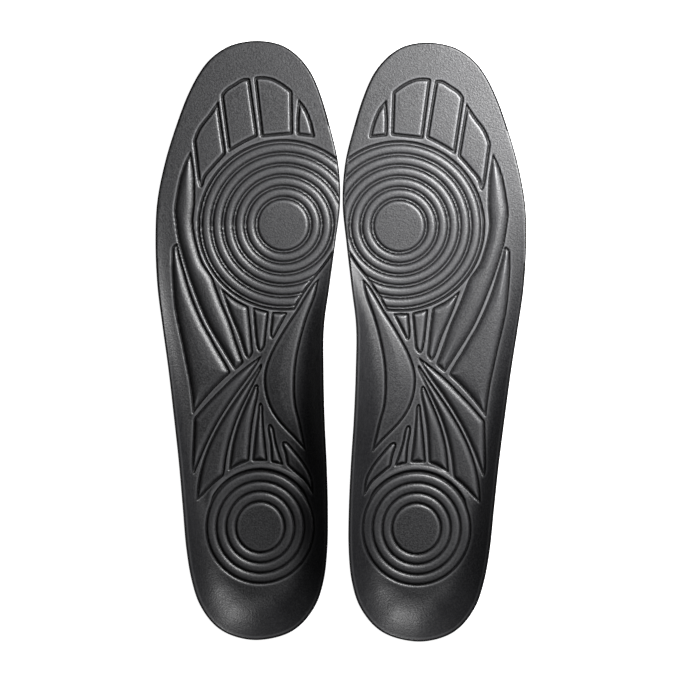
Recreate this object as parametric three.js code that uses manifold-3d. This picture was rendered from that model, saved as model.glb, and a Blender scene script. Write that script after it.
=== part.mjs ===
// A pair of cushioned insoles, left and right, lying flat with their inner edges side by side.
// Millimetres. +Z is up, +Y points to the toes, and the origin is on the floor, midway between the
// two insoles and midway along them. Everything is worked out for the right insole, which lies at
// positive X with its inner edge towards X = 0, and the left one is its mirror image.
//
// Each insole is a moulded foam footbed with a raised heel cup and arch flange, a thin top cover, a
// round cushion let into the underside below the heel and another below the ball of the foot, and
// a semi-rigid arch shell. The foot bends the insole at a slanted line across the ball. The footbed
// is one moulding in use; here it is two solids that meet at that line, so that it can bend.

import * as THREE from "three";
import { mergeVertices } from "three/addons/utils/BufferGeometryUtils.js";
import Module from "manifold-3d";

const wasm = await Module();
wasm.setup();

// ---- overall sizes
const LENGTH = 270; // heel edge to toe edge
const FOREFOOT_WIDTH = 83.2; // widest, across the ball
const HEEL_WIDTH = 64.4; // across the rim of the heel cup
const PAIR_GAP = 1.2; // between the two inner edges at their nearest

// ---- thickness under the foot, cover included
const HEEL_THICKNESS = 7.2;
const WAIST_THICKNESS = 8.2;
const BALL_THICKNESS = 6.2;
const TOE_THICKNESS = 4.5;
const COVER_THICKNESS = 1.2;
const FOAM_EDGE = 1.5; // foam left under the cover at the rim
const GLUE_LINE = 0.3; // between any two pieces that are bonded

// ---- rim above the surface under the foot
const HEEL_CUP_RISE = 13;
const HEEL_CUP_REACH = 15; // how far in from the rim the wall starts to climb
const ARCH_RISE = 12.5;
const ARCH_REACH = 15;
const OUTER_RISE = 6.5; // outer side, at the waist
const OUTER_REACH = 9;
const WALL_POWER = 2.4; // 2 is a parabola; more keeps the wall steeper at its top
const ARCH_SWELL = 4; // broad lift of the inner half of the waist
const SWELL_MIDDLE = -0.16; // share of the half length
const SWELL_LENGTH = 0.5; // each way from its middle, as a share of the half length
const SWELL_WIDTH = 0.62; // share of the local width, from the inner edge

// ---- outer wall: how far the flat underside stays in from the rim
const HEEL_FLARE = 4.5;
const ARCH_FLARE = 10;
const OUTER_FLARE = 4.5;
const TOE_FLARE = 1.8;

// ---- cushions, let into the underside
const HEEL_CUSHION_RADIUS = 22;
const HEEL_CUSHION_THICKNESS = 3.4;
const HEEL_CUSHION_FROM_HEEL = 50; // its centre, from the heel edge
const BALL_CUSHION_RADIUS = 20;
const BALL_CUSHION_THICKNESS = 2.2;
const BALL_CUSHION_FROM_TOE = 83.3; // its centre, from the toe edge
const BALL_CUSHION_FROM_INNER = 24.6; // its centre, from the inner edge there
const CUSHION_BEVEL = 0.6;
const CUSHION_SIDES = 36;

// ---- arch shell, let into the underside of the waist
const SHELL_THICKNESS = 1.4;
const SHELL_START = 0.30; // shares of the length, from the heel
const SHELL_END = 0.56;
const SHELL_REACH_ENDS = 0.4; // shares of the local width, from the inner edge
const SHELL_REACH_MIDDLE = 0.66;
const SHELL_FROM_RIM = 2;

// ---- bending line
const FLEX_SKEW = 15; // degrees; its outer end lies further back
const FLEX_GAP = 0.4; // between the two halves of the footbed
const FLEX_AXIS_CLEARANCE = 0.2; // axis above the highest point of the line
const FLEX_STEPS = 60; // places where that height is looked up

// ---- outline, drawn once at these sizes and then stretched to the sizes above
const DRAWN_LENGTH = 270;
const DRAWN_FOREFOOT = 83.2;
const DRAWN_HEEL = 64.4;
const HEEL_TIP = 36.4; // from the innermost line
const TOE_TIP = 37.4;
// Each row: distance along from the middle, inner edge and outer edge from the innermost line.
const OUTLINE = [
  [-128, 15.9, 54.9],
  [-119, 9.2, 61.4],
  [-108, 5.7, 65.1],
  [-94, 4.2, 67.6],
  [-76, 4.1, 69.4],
  [-56, 4.8, 71.4],
  [-36, 5.9, 73.8],
  [-14, 6.6, 76.6],
  [6, 6.6, 79.6],
  [24, 4.4, 82.1],
  [44, 1.9, 83.2],
  [62, 0, 82.6],
  [80, 1, 79.2],
  [96, 4.7, 74.5],
  [110, 8.9, 69.4],
  [120, 13.2, 64.3],
  [128, 19.6, 57.3],
];
const HEEL_WIDTH_TO = -70; // the heel keeps its own width up to here
const FOREFOOT_WIDTH_FROM = 40; // and the forefoot from here
const OUTLINE_STEPS = 480;

// ---- mesh density
const ROWS = 35;
const COLUMNS_PER_SIDE = 7;
const CROWDING = 1.9; // above 1 brings the columns closer together at the rim
const FAN = 0.78; // share of the length that the middle line takes; the rows fan out to the tips
const SHELL_ROWS = 12;
const SHELL_COLUMNS = 9;
const SHELL_CROWDING = 1.4;

const CUT_BELOW = 1; // how far a cut for a pocket starts outside the surface
const HALF = LENGTH / 2;
const MOST = 1000; // larger than anything here

const mix = (a, b, t) => a + (b - a) * t;
const clamp01 = (t) => Math.min(1, Math.max(0, t));
const smooth = (t) => clamp01(t) ** 2 * (3 - 2 * clamp01(t));

// A smooth curve through points [at, value], level beyond its ends: cubic pieces whose slope at
// each point is that of the chord between its neighbours.
function curveThrough(points) {
  const slope = points.map((_, i) => {
    const before = points[Math.max(0, i - 1)];
    const after = points[Math.min(points.length - 1, i + 1)];
    return i === 0 || i === points.length - 1 ? 0 : (after[1] - before[1]) / (after[0] - before[0]);
  });
  return (at) => {
    if (at <= points[0][0]) return points[0][1];
    const i = points.findIndex((p) => p[0] > at) - 1;
    if (i < 0) return points[points.length - 1][1];
    const [x0, y0] = points[i];
    const [x1, y1] = points[i + 1];
    const t = (at - x0) / (x1 - x0);
    const run = x1 - x0;
    const cubic = (2 * t ** 3 - 3 * t ** 2 + 1) * y0 + (3 * t ** 2 - 2 * t ** 3) * y1;
    return cubic + run * ((t ** 3 - 2 * t ** 2 + t) * slope[i] + (t ** 3 - t ** 2) * slope[i + 1]);
  };
}

// ---- plan

// Stretch across, at a drawn distance along: the heel and the forefoot each keep their own width.
function widthScale(drawnY) {
  const forward = smooth((drawnY - HEEL_WIDTH_TO) / (FOREFOOT_WIDTH_FROM - HEEL_WIDTH_TO));
  return mix(HEEL_WIDTH / DRAWN_HEEL, FOREFOOT_WIDTH / DRAWN_FOREFOOT, forward);
}

function planPoint(drawnY, drawnX) {
  const x = PAIR_GAP / 2 + drawnX * widthScale(drawnY);
  return new THREE.Vector3(x, (drawnY * LENGTH) / DRAWN_LENGTH, 0);
}

// The closed outline: up the outer side from the heel tip and back down the inner side.
const outline = new THREE.CatmullRomCurve3(
  [
    planPoint(-DRAWN_LENGTH / 2, HEEL_TIP),
    ...OUTLINE.map(([y, , outer]) => planPoint(y, outer)),
    planPoint(DRAWN_LENGTH / 2, TOE_TIP),
    ...OUTLINE.map(([y, inner]) => planPoint(y, inner)).reverse(),
  ],
  true,
  "centripetal",
).getPoints(OUTLINE_STEPS);
const toeIndex = outline.reduce((best, p, i) => (p.y > outline[best].y ? i : best), 0);
const outerSide = outline.slice(0, toeIndex + 1);
const innerSide = outline.slice(toeIndex).reverse();

function edgeX(side, y) {
  const i = Math.max(1, side.findIndex((p) => p.y >= y));
  const t = clamp01((y - side[i - 1].y) / (side[i].y - side[i - 1].y));
  return mix(side[i - 1].x, side[i].x, t);
}
const innerX = (y) => edgeX(innerSide, y);
const outerX = (y) => edgeX(outerSide, y);

// The nearest point of the outline: its distance, its place and which side it is on.
function nearestEdge(x, y) {
  const best = { distance: MOST };
  for (let i = 1; i < outline.length; i += 1) {
    const [a, b] = [outline[i - 1], outline[i]];
    const [dx, dy] = [b.x - a.x, b.y - a.y];
    const t = clamp01(((x - a.x) * dx + (y - a.y) * dy) / (dx * dx + dy * dy));
    const distance = Math.hypot(a.x + dx * t - x, a.y + dy * t - y);
    if (distance >= best.distance) continue;
    Object.assign(best, { distance, x: a.x + dx * t, y: a.y + dy * t, inner: i > toeIndex });
  }
  return best;
}

// ---- heights, against the share of the half length: -1 at the heel, 1 at the toes

const underFoot = curveThrough([
  [-1, HEEL_THICKNESS],
  [-0.5, HEEL_THICKNESS],
  [-0.1, WAIST_THICKNESS],
  [0.36, BALL_THICKNESS],
  [0.8, TOE_THICKNESS],
  [1, TOE_THICKNESS],
]);
const innerRise = curveThrough([
  [-1, HEEL_CUP_RISE],
  [-0.65, HEEL_CUP_RISE],
  [-0.22, ARCH_RISE],
  [0.05, ARCH_RISE * 0.55],
  [0.24, ARCH_RISE * 0.14],
  [0.4, 0],
]);
const outerRise = curveThrough([
  [-1, HEEL_CUP_RISE],
  [-0.75, HEEL_CUP_RISE * 0.93],
  [-0.3, OUTER_RISE],
  [0.1, OUTER_RISE * 0.4],
  [0.3, OUTER_RISE * 0.15],
  [0.55, 0],
]);
const innerReach = curveThrough([
  [-0.8, HEEL_CUP_REACH],
  [-0.2, ARCH_REACH],
  [0.3, ARCH_REACH * 0.4],
]);
const outerReach = curveThrough([
  [-0.8, HEEL_CUP_REACH],
  [-0.3, OUTER_REACH],
]);
const innerFlare = curveThrough([
  [-0.75, HEEL_FLARE],
  [-0.2, ARCH_FLARE],
  [0.35, TOE_FLARE],
]);
const outerFlare = curveThrough([
  [-0.75, HEEL_FLARE],
  [-0.2, OUTER_FLARE],
  [0.35, TOE_FLARE],
]);

// Broad lift of the inner half at the waist, fading to nothing at the middle of the width.
function archSwell(x, y) {
  const along = 1 - smooth(Math.abs(y / HALF - SWELL_MIDDLE) / SWELL_LENGTH);
  if (along === 0) return 0;
  const across = 1 - smooth((x - innerX(y)) / (SWELL_WIDTH * (outerX(y) - innerX(y))));
  return ARCH_SWELL * along * across;
}

// Height of the surface that the foot stands on: the thickness, the arch swell, and the wall, which
// climbs as a power of the nearness to the rim.
function topHeight(x, y) {
  const edge = nearestEdge(x, y);
  const share = edge.y / HALF;
  const rise = edge.inner ? innerRise(share) : outerRise(share);
  const reach = edge.inner ? innerReach(share) : outerReach(share);
  return underFoot(y / HALF) + archSwell(x, y) + rise * clamp01(1 - edge.distance / reach) ** WALL_POWER;
}

// Height of the underside: flat on the floor, and climbing to the rim as a parabola.
function underHeight(x, y) {
  const edge = nearestEdge(x, y);
  const share = edge.y / HALF;
  const flare = edge.inner ? innerFlare(share) : outerFlare(share);
  const rim = topHeight(edge.x, edge.y) - COVER_THICKNESS - GLUE_LINE - FOAM_EDGE;
  return rim * clamp01(1 - edge.distance / flare) ** 2;
}

// ---- solids

// Whether a row of plan points runs in to the middle and back along the same line. Such an end row
// closes on itself and needs no wall.
function folded(row) {
  return row[0].distanceTo(row[row.length - 1]) === 0;
}

// A closed solid over a grid of plan points, between two heights.
function gridSolid(plan, low, high) {
  const rows = plan.length;
  const columns = plan[0].length;
  const positions = [];
  for (const height of [high, low]) {
    for (const { x, y } of plan.flat()) positions.push(x, y, height(x, y));
  }
  const top = (i, j) => i * columns + j;
  const bottom = (i, j) => rows * columns + top(i, j);
  const faces = [];
  const quad = (a, b, c, d) => faces.push(a, b, c, a, c, d);
  for (let i = 0; i < rows - 1; i += 1) {
    for (let j = 0; j < columns - 1; j += 1) {
      quad(top(i, j), top(i, j + 1), top(i + 1, j + 1), top(i + 1, j));
      quad(bottom(i, j), bottom(i + 1, j), bottom(i + 1, j + 1), bottom(i, j + 1));
    }
    quad(top(i, 0), top(i + 1, 0), bottom(i + 1, 0), bottom(i, 0));
    const last = columns - 1;
    quad(top(i + 1, last), top(i, last), bottom(i, last), bottom(i + 1, last));
  }
  for (let j = 0; j < columns - 1; j += 1) {
    const last = rows - 1;
    if (!folded(plan[0])) quad(top(0, j + 1), top(0, j), bottom(0, j), bottom(0, j + 1));
    if (!folded(plan[last])) quad(top(last, j), top(last, j + 1), bottom(last, j + 1), bottom(last, j));
  }
  const geometry = new THREE.BufferGeometry();
  geometry.setAttribute("position", new THREE.Float32BufferAttribute(positions, 3));
  geometry.setIndex(faces);
  return geometry;
}

// The point a share of the way along one side, from the heel tip to the toe tip.
function alongSide(side, share) {
  const at = share * (side.length - 1);
  const i = Math.min(side.length - 2, Math.floor(at));
  return side[i].clone().lerp(side[i + 1], at - i);
}

// Plan points over the whole insole. Each row runs from the inner edge to the middle line and on to
// the outer edge, and the first and last rows fold back from the middle line to the tip.
function insolePlan() {
  const shares = Array.from({ length: COLUMNS_PER_SIDE + 1 }, (_, j) => (j / COLUMNS_PER_SIDE) ** CROWDING);
  return Array.from({ length: ROWS }, (_, i) => {
    const inner = alongSide(innerSide, i / (ROWS - 1));
    const outer = alongSide(outerSide, i / (ROWS - 1));
    const y = ((inner.y + outer.y) / 2) * FAN;
    const middle = new THREE.Vector3((innerX(y) + outerX(y)) / 2, y, 0);
    const half = (edge) => shares.map((share) => edge.clone().lerp(middle, share));
    return [...half(inner), ...half(outer).slice(0, -1).reverse()];
  });
}

// Plan points of the arch shell, or of its pocket when margin is the glue line.
function shellPlan(margin) {
  return Array.from({ length: SHELL_ROWS }, (_, i) => {
    const t = i / (SHELL_ROWS - 1);
    const y = LENGTH * mix(SHELL_START, SHELL_END, t) - HALF + margin * (2 * t - 1);
    const width = outerX(y) - innerX(y);
    const reach = mix(SHELL_REACH_ENDS, SHELL_REACH_MIDDLE, Math.sin(Math.PI * t));
    const from = innerX(y) + SHELL_FROM_RIM - margin;
    const to = innerX(y) + reach * width + margin;
    return Array.from(
      { length: SHELL_COLUMNS },
      (_, j) => new THREE.Vector3(mix(from, to, (j / (SHELL_COLUMNS - 1)) ** SHELL_CROWDING), y, 0),
    );
  });
}

function manifold(geometry) {
  const bare = geometry.clone();
  bare.deleteAttribute("normal");
  bare.deleteAttribute("uv");
  const merged = mergeVertices(bare);
  const vertProperties = merged.attributes.position.array;
  const triVerts = new Uint32Array(merged.index.array);
  return new wasm.Manifold(new wasm.Mesh({ numProp: 3, vertProperties, triVerts }));
}

function geometryOf(solid) {
  const { vertProperties, triVerts } = solid.getMesh();
  const geometry = new THREE.BufferGeometry();
  geometry.setAttribute("position", new THREE.BufferAttribute(vertProperties, 3));
  geometry.setIndex(new THREE.BufferAttribute(triVerts, 1));
  return geometry;
}

// A round cushion standing on z = bottom, with its upper and lower edges bevelled.
function cushion(centre, radius, bottom, thickness) {
  const top = bottom + thickness;
  const profile = [
    new THREE.Vector2(0, bottom),
    new THREE.Vector2(radius - CUSHION_BEVEL, bottom),
    new THREE.Vector2(radius, bottom + CUSHION_BEVEL),
    new THREE.Vector2(radius, top - CUSHION_BEVEL),
    new THREE.Vector2(radius - CUSHION_BEVEL, top),
    new THREE.Vector2(0, top),
  ];
  const turned = new THREE.LatheGeometry(profile, CUSHION_SIDES);
  return turned.rotateX(Math.PI / 2).translate(centre.x, centre.y, 0);
}

// The round pocket that a cushion of this size drops into, open below.
function pocket(centre, radius, ceiling) {
  const depth = ceiling + CUT_BELOW;
  const round = new THREE.CylinderGeometry(radius + GLUE_LINE, radius + GLUE_LINE, depth, CUSHION_SIDES);
  return round.rotateX(Math.PI / 2).translate(centre.x, centre.y, ceiling - depth / 2);
}

// ---- the right insole's pieces

const heelCentreY = HEEL_CUSHION_FROM_HEEL - HALF;
const heelCentre = new THREE.Vector2((innerX(heelCentreY) + outerX(heelCentreY)) / 2, heelCentreY);
const ballCentreY = HALF - BALL_CUSHION_FROM_TOE;
const ballCentre = new THREE.Vector2(innerX(ballCentreY) + BALL_CUSHION_FROM_INNER, ballCentreY);
const ballCushionBottom = GLUE_LINE;

const covering = insolePlan();
const underCover = (x, y) => topHeight(x, y) - COVER_THICKNESS;
const foamTop = (x, y) => underCover(x, y) - GLUE_LINE;
const shellTop = (x, y) => underHeight(x, y) + SHELL_THICKNESS;

function footbed() {
  const shellPocket = gridSolid(
    shellPlan(GLUE_LINE),
    (x, y) => underHeight(x, y) - CUT_BELOW,
    (x, y) => shellTop(x, y) + GLUE_LINE,
  );
  return manifold(gridSolid(covering, underHeight, foamTop))
    .subtract(manifold(shellPocket))
    .subtract(manifold(pocket(heelCentre, HEEL_CUSHION_RADIUS, HEEL_CUSHION_THICKNESS + GLUE_LINE)))
    .subtract(
      manifold(
        pocket(ballCentre, BALL_CUSHION_RADIUS, ballCushionBottom + BALL_CUSHION_THICKNESS + GLUE_LINE),
      ),
    );
}

// Everything on one side of the bending line, which passes through the ball cushion's centre: +1
// keeps the toes and -1 the heel.
function beyondFlex(sign) {
  const block = new THREE.BoxGeometry(MOST, MOST, MOST);
  block.translate(0, sign * (MOST / 2 + FLEX_GAP / 2), 0);
  block.rotateZ(-THREE.MathUtils.degToRad(FLEX_SKEW));
  return manifold(block.translate(ballCentre.x, ballCentre.y, 0));
}

const wholeFootbed = footbed();
const rightPieces = {
  top_cover: gridSolid(covering, underCover, topHeight),
  footbed_front: geometryOf(wholeFootbed.intersect(beyondFlex(1))),
  footbed_rear: geometryOf(wholeFootbed.intersect(beyondFlex(-1))),
  ball_cushion: cushion(ballCentre, BALL_CUSHION_RADIUS, ballCushionBottom, BALL_CUSHION_THICKNESS),
  heel_cushion: cushion(heelCentre, HEEL_CUSHION_RADIUS, 0, HEEL_CUSHION_THICKNESS),
  arch_shell: gridSolid(shellPlan(0), underHeight, shellTop),
};

// ---- materials

const finishes = {
  top_cover: { color: 0x26272a, roughness: 0.55, metalness: 0 },
  footbed_front: { color: 0x1d1d1f, roughness: 0.9, metalness: 0 },
  footbed_rear: { color: 0x1d1d1f, roughness: 0.9, metalness: 0 },
  ball_cushion: { color: 0x3d4147, roughness: 0.45, metalness: 0 },
  heel_cushion: { color: 0x3d4147, roughness: 0.45, metalness: 0 },
  arch_shell: { color: 0x141518, roughness: 0.35, metalness: 0 },
};

// The mirror image of a piece in the plane X = 0, with its faces turned to point outwards again.
function mirrored(geometry) {
  const image = geometry.index ? geometry.toNonIndexed() : geometry.clone();
  const { array } = image.attributes.position;
  for (let corner = 0; corner < array.length; corner += 9) {
    const [second, third] = [array.slice(corner + 3, corner + 6), array.slice(corner + 6, corner + 9)];
    array.set(third, corner + 3);
    array.set(second, corner + 6);
  }
  for (let i = 0; i < array.length; i += 3) array[i] = -array[i];
  return image;
}

// ---- the highest point of the bending line sets the height of its axis

function flexAxisHeight() {
  const slope = -Math.tan(THREE.MathUtils.degToRad(FLEX_SKEW));
  let highest = 0;
  for (let step = 0; step <= FLEX_STEPS; step += 1) {
    const x = mix(innerX(ballCentre.y), outerX(ballCentre.y), step / FLEX_STEPS);
    highest = Math.max(highest, topHeight(x, ballCentre.y + slope * (x - ballCentre.x)));
  }
  return highest + FLEX_AXIS_CLEARANCE;
}

const insoles = new THREE.Group();
insoles.name = "insoles";
insoles.userData = {
  flexPoint: [ballCentre.x, ballCentre.y, flexAxisHeight()],
  heelCentre: heelCentre.toArray(),
};
for (const side of ["left", "right"]) {
  const insole = new THREE.Group();
  insole.name = side;
  for (const [piece, geometry] of Object.entries(rightPieces)) {
    const shape = side === "right" ? geometry : mirrored(geometry);
    const mesh = new THREE.Mesh(shape, new THREE.MeshStandardMaterial(finishes[piece]));
    mesh.name = `${side}_${piece}`;
    insole.add(mesh);
  }
  insoles.add(insole);
}

export default insoles;
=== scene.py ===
"""A pair of black cushioned insoles: moulded grained covers on foam footbeds, with round gel cushions
and an arch shell let into the undersides.

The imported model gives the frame, the bodies and the sizes. Shapes are worked out for the right insole
in millimetres, with x from the plane between the two insoles and y from the middle of their length.
The left one is its mirror image.
"""
import math
from collections import namedtuple

import bpy
import numpy as np
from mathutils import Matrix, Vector

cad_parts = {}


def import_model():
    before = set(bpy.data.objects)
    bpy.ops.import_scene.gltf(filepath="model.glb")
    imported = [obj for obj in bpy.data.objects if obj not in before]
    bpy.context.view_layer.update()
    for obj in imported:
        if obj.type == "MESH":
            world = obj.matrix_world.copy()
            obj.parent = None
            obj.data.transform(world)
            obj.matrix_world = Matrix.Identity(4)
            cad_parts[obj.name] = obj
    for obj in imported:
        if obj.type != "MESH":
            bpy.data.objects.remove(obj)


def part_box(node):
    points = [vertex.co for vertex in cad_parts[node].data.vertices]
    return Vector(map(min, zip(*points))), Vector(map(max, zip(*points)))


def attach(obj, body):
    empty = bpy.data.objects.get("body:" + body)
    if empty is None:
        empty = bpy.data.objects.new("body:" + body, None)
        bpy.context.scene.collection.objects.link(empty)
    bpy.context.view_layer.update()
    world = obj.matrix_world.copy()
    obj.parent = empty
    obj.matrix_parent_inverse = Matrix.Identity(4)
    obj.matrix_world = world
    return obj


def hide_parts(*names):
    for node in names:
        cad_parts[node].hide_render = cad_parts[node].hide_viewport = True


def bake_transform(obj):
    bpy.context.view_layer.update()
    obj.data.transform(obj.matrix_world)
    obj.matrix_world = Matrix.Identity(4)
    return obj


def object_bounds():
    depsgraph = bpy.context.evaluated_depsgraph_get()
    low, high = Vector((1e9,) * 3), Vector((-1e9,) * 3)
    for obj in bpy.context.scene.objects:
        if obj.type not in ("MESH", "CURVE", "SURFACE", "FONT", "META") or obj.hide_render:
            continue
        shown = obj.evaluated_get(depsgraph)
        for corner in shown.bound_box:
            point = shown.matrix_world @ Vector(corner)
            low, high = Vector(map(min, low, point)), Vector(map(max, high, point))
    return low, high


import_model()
CAD_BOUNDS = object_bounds()
MM = 0.001

# ---------------------------------------------------------------- sizes, in millimetres

CAD_LOW, CAD_HIGH = (np.array(corner) / MM for corner in CAD_BOUNDS)
LENGTH = CAD_HIGH[1] - CAD_LOW[1]
HALF = LENGTH / 2
PAIR_GAP = 2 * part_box("right_top_cover")[0][0] / MM

COVER = 1.7  # thickness of the cover below its plain surface
LIP = 1.2  # radius of the rolled edge of the cover
PLAIN_EDGE = 1.6  # the relief fades out over this distance from the rim
FOAM_EDGE = 1.8  # thickness of the foam at the rim
SKIN_GAP = 0.02  # keeps the foam clear of the cover

# Height of the plain surface over the floor.
HEEL_THICKNESS = 7.2
WAIST_THICKNESS = 8.2
BALL_THICKNESS = 6.2
TOE_THICKNESS = 4.5

# Walls along the rim: how high they climb, how far in from the rim they start, and the power of the
# climb. The back wall of the heel cup starts further in and is straighter.
HEEL_CUP_RISE = 13
HEEL_CUP_REACH = 15
HEEL_BACK_REACH = 20
ARCH_RISE = 12.5
ARCH_REACH = 15
OUTER_RISE = 6.5
OUTER_REACH = 9
WALL_POWER = 2.4
HEEL_BACK_POWER = 2.0
HEEL_BACK_START, HEEL_BACK_SPAN = -0.78, 0.16  # shares of the half length

# Lift of the arch: its height, where it is highest and how far it runs as shares of the half length,
# and how far it runs across as a share of the width.
ARCH_SWELL = 4
ARCH_MIDDLE = -0.16
ARCH_RUN = 0.5
ARCH_ACROSS = 0.62

# How far in from the rim the underside starts to climb.
HEEL_FLARE = 4.5
ARCH_FLARE = 10
OUTER_FLARE = 4.5
TOE_FLARE = 1.8

SHELL_THICKNESS = 1.4
SHELL_FROM_RIM = 2
SHELL_LOW, SHELL_HIGH = 0.30 * LENGTH - HALF, 0.56 * LENGTH - HALF
SHELL_SHARE, SHELL_BULGE = 0.4, 0.26  # share of the width at its ends, and how much more between them
SHELL_EDGE = 0.5  # radius of its lower edge
SHELL_LINES = 7  # grooves in its lower face
SHELL_LINE_DEPTH = 0.5
SHELL_LINE_FROM = 0.45  # a groove is where a cosine wave is over this
SHELL_LINE_MARGIN, SHELL_LINE_FADE = 3, 1.5  # plain edge round them, and the run in which they deepen

CUSHION_EDGE = 0.8  # radius of a cushion's edges
CUSHION_RINGS = 4.4  # spacing of the ring grooves in its lower face
CUSHION_RING_DEPTH = 0.35
POCKET_WALL = 0.6  # width of the sloping wall of a cushion's pocket
POCKET_GAP = 0.2  # room round and above a cushion
RECESS_WALL = 0.4  # the same for the arch shell
RECESS_GAP = 0.1
RECESS_ROOM = 0.15

# Outline of the right insole. Each row: distance along from the middle, and the inner and the outer
# edge from the innermost line.
HEEL_TIP = 36.4
TOE_TIP = 37.4
OUTLINE = [
    (-132.6, 23.3, 47.8), (-128, 15.9, 54.9), (-119, 9.2, 61.4), (-108, 5.7, 65.1),
    (-94, 4.2, 67.6), (-76, 4.1, 69.4), (-56, 4.8, 71.4), (-36, 5.9, 73.8), (-14, 6.6, 76.6),
    (6, 6.6, 79.6), (24, 4.4, 82.1), (44, 1.9, 83.2), (62, 0, 82.6), (80, 1, 79.2),
    (96, 4.7, 74.5), (110, 8.9, 69.4), (120, 13.2, 64.3), (126, 17.5, 59.8),
    (130.4, 22.3, 54.5), (133.4, 27.8, 48.4),
]
FAN = 0.78  # share of the length that the middle line takes; rows fan out from it to the tips


# ---------------------------------------------------------------- curves

def smooth(t):
    """0 below 0, 1 above 1, and an S curve between: three times the square less twice the cube."""
    t = np.clip(t, 0, 1)
    return t * t * (3 - 2 * t)


def curve_through(points):
    """A function that passes smoothly through (at, value) points and is level beyond its ends: cubic
    pieces whose slope at each point is that of the chord between its neighbours."""
    at, value = np.array(points, float).T
    slope = np.zeros(len(at))
    slope[1:-1] = (value[2:] - value[:-2]) / (at[2:] - at[:-2])

    def curve(x):
        x = np.clip(x, at[0], at[-1])
        i = np.clip(np.searchsorted(at, x, side="right") - 1, 0, len(at) - 2)
        run = at[i + 1] - at[i]
        t = (x - at[i]) / run
        ends = (2 * t**3 - 3 * t**2 + 1) * value[i] + (3 * t**2 - 2 * t**3) * value[i + 1]
        return ends + run * ((t**3 - 2 * t**2 + t) * slope[i] + (t**3 - t**2) * slope[i + 1])

    return curve


def spline(points, closed=False, steps=12):
    """Points along a centripetal Catmull-Rom curve: between each two points a cubic in the square root
    of the chord lengths, blended from its four neighbours."""
    p = np.array(points, float)
    if closed:
        p = np.vstack([p[-1], p, p[0], p[1]])
    else:
        p = np.vstack([2 * p[0] - p[1], p, 2 * p[-1] - p[-2]])
    t = np.concatenate([[0], np.cumsum(np.sqrt(np.hypot(*np.diff(p, axis=0).T)))])
    p0, p1, p2, p3 = (p[k:len(p) - 3 + k, None] for k in range(4))
    t0, t1, t2, t3 = (t[k:len(p) - 3 + k, None, None] for k in range(4))
    u = t1 + (t2 - t1) * np.linspace(0, 1, steps, endpoint=False)[None, :, None]
    a1 = ((t1 - u) * p0 + (u - t0) * p1) / (t1 - t0)
    a2 = ((t2 - u) * p1 + (u - t1) * p2) / (t2 - t1)
    a3 = ((t3 - u) * p2 + (u - t2) * p3) / (t3 - t2)
    b1 = ((t2 - u) * a1 + (u - t0) * a2) / (t2 - t0)
    b2 = ((t3 - u) * a2 + (u - t1) * a3) / (t3 - t1)
    line = (((t2 - u) * b1 + (u - t1) * b2) / (t2 - t1)).reshape(-1, 2)
    return line if closed else np.vstack([line, p[-2]])


def resample(line, count):
    """count points at equal spacing along a line of points."""
    run = np.concatenate([[0], np.cumsum(np.hypot(*np.diff(line, axis=0).T))])
    at = np.linspace(0, run[-1], count)
    return np.column_stack([np.interp(at, run, line[:, 0]), np.interp(at, run, line[:, 1])])


# ---------------------------------------------------------------- plan of the insole

def outline_sides():
    """The inner and the outer side of the outline, each from the heel tip to the toe tip."""
    drawn = [(PAIR_GAP / 2 + HEEL_TIP, -HALF)]
    drawn += [(PAIR_GAP / 2 + outer, y) for y, _, outer in OUTLINE]
    drawn += [(PAIR_GAP / 2 + TOE_TIP, HALF)]
    drawn += [(PAIR_GAP / 2 + inner, y) for y, inner, _ in reversed(OUTLINE)]
    loop = spline(drawn, closed=True, steps=16)
    toe = int(np.argmax(loop[:, 1]))
    return np.vstack([loop[toe:], loop[:1]])[::-1], loop[:toe + 1]


INNER_SIDE, OUTER_SIDE = outline_sides()


def inner_x(y):
    """x of the inner edge at y."""
    return np.interp(y, INNER_SIDE[:, 1], INNER_SIDE[:, 0])


def outer_x(y):
    """x of the outer edge at y."""
    return np.interp(y, OUTER_SIDE[:, 1], OUTER_SIDE[:, 0])


def distance_to_line(x, y, line):
    """Distance from each point to a line of points, and the nearest place on it."""
    best = np.full(x.shape, np.inf)
    at_x, at_y = np.zeros(x.shape), np.zeros(x.shape)
    for (ax, ay), (bx, by) in zip(line[:-1], line[1:]):
        dx, dy = bx - ax, by - ay
        t = np.clip(((x - ax) * dx + (y - ay) * dy) / (dx * dx + dy * dy + 1e-12), 0, 1)
        px, py = ax + dx * t, ay + dy * t
        distance = np.hypot(px - x, py - y)
        nearer = distance < best
        best = np.where(nearer, distance, best)
        at_x, at_y = np.where(nearer, px, at_x), np.where(nearer, py, at_y)
    return best, at_x, at_y


# Curves along the insole, from -1 at the heel tip to 1 at the toe tip.
UNDER_FOOT = curve_through([
    (-1, HEEL_THICKNESS), (-0.5, HEEL_THICKNESS), (-0.1, WAIST_THICKNESS), (0.36, BALL_THICKNESS),
    (0.8, TOE_THICKNESS), (1, TOE_THICKNESS)])
INNER_RISE_ALONG = curve_through([
    (-1, HEEL_CUP_RISE), (-0.65, HEEL_CUP_RISE), (-0.22, ARCH_RISE), (0.05, ARCH_RISE * 0.55),
    (0.24, ARCH_RISE * 0.14), (0.4, 0)])
OUTER_RISE_ALONG = curve_through([
    (-1, HEEL_CUP_RISE), (-0.75, HEEL_CUP_RISE * 0.93), (-0.3, OUTER_RISE), (0.1, OUTER_RISE * 0.4),
    (0.3, OUTER_RISE * 0.15), (0.55, 0)])
INNER_REACH_ALONG = curve_through([
    (-1, HEEL_BACK_REACH), (-0.93, HEEL_BACK_REACH), (-0.76, HEEL_CUP_REACH), (-0.2, ARCH_REACH),
    (0.3, ARCH_REACH * 0.4)])
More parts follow.
